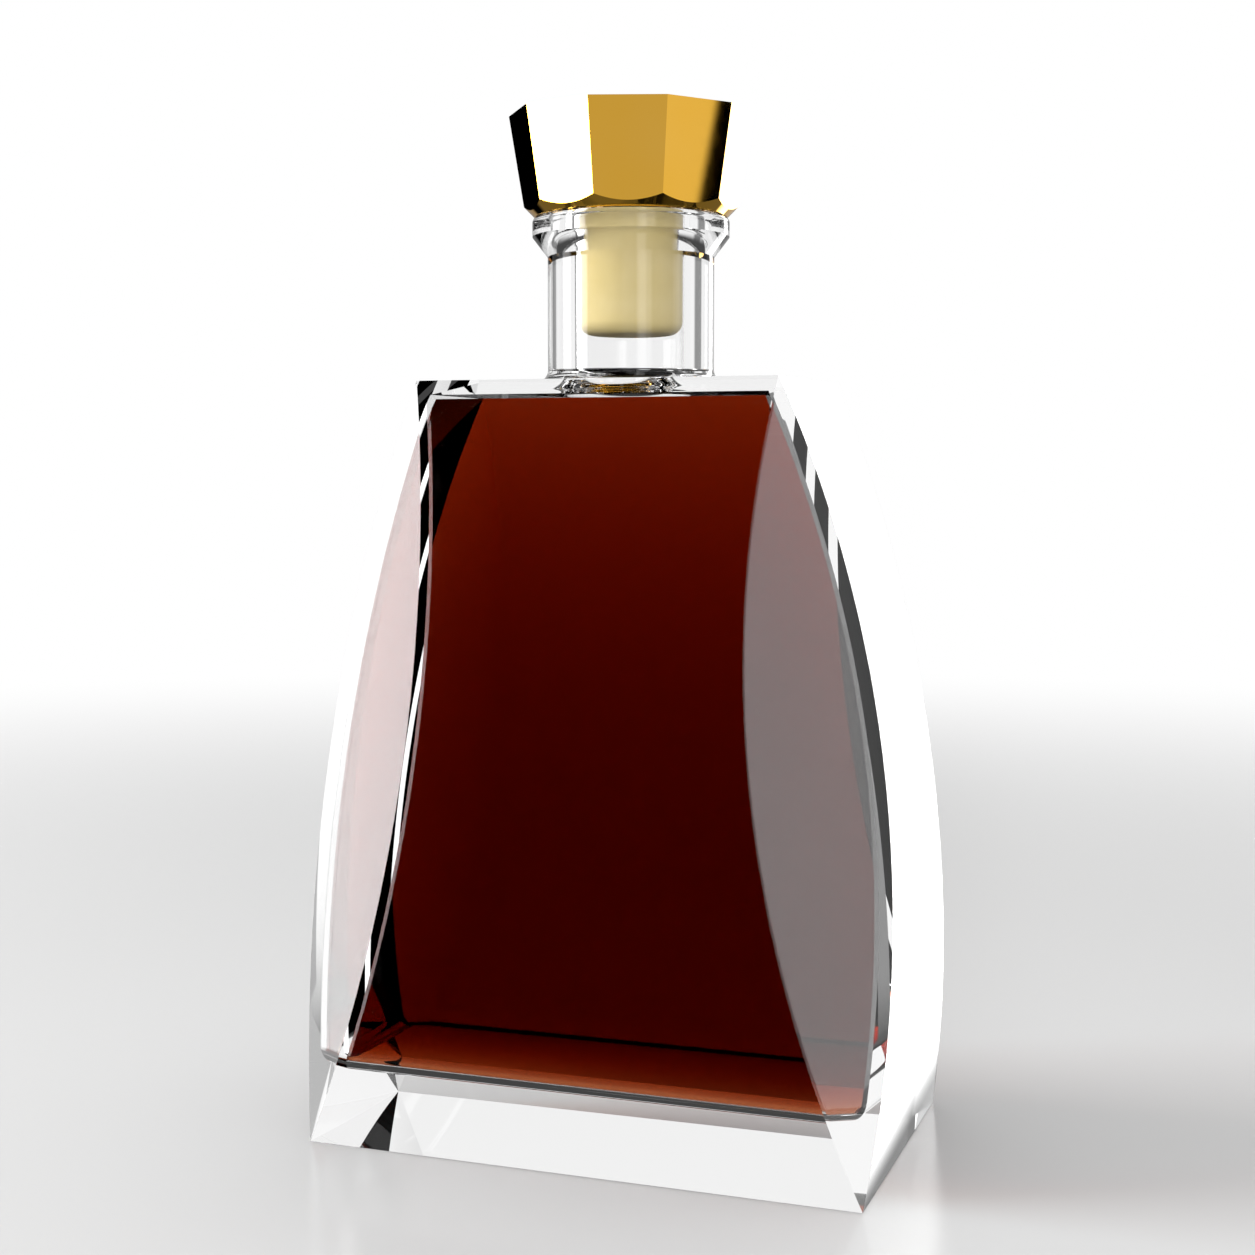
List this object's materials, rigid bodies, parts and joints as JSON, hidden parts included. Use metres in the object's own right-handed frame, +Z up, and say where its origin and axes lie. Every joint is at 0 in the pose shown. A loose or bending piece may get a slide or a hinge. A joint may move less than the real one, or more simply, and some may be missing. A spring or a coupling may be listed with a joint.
{
  "type": "liquor bottle",
  "caption": "Flat-shouldered clear glass liquor bottle with bowed sides and cut corners, a round ringed neck, red-brown liquor inside and a pull-out stopper with a faceted gold cap.",
  "frame": {"origin": "middle of the flat base", "axes": "+Z up through the neck, the broad front faces -Y, the narrow sides face +X and -X"},
  "size_m": [0.118, 0.0698, 0.2019],
  "materials": {
    "clear_glass": "clear polished glass",
    "liquor": "clear dark red-brown liquid",
    "stopper_shank": "smooth cream synthetic cork",
    "stopper_cap": "polished, gold anodised"
  },
  "bodies": {
    "bottle": {"bottle_glass": "clear_glass", "liquor": "liquor"},
    "stopper": {"stopper_cap": "stopper_cap", "stopper_shank": "stopper_shank"}
  },
  "joints": [
    {"name": "stopper_pull", "type": "slide", "parent": "bottle", "child": "stopper", "axis": [0, 0, 1], "range_m": [0, 0.035]}
  ]
}
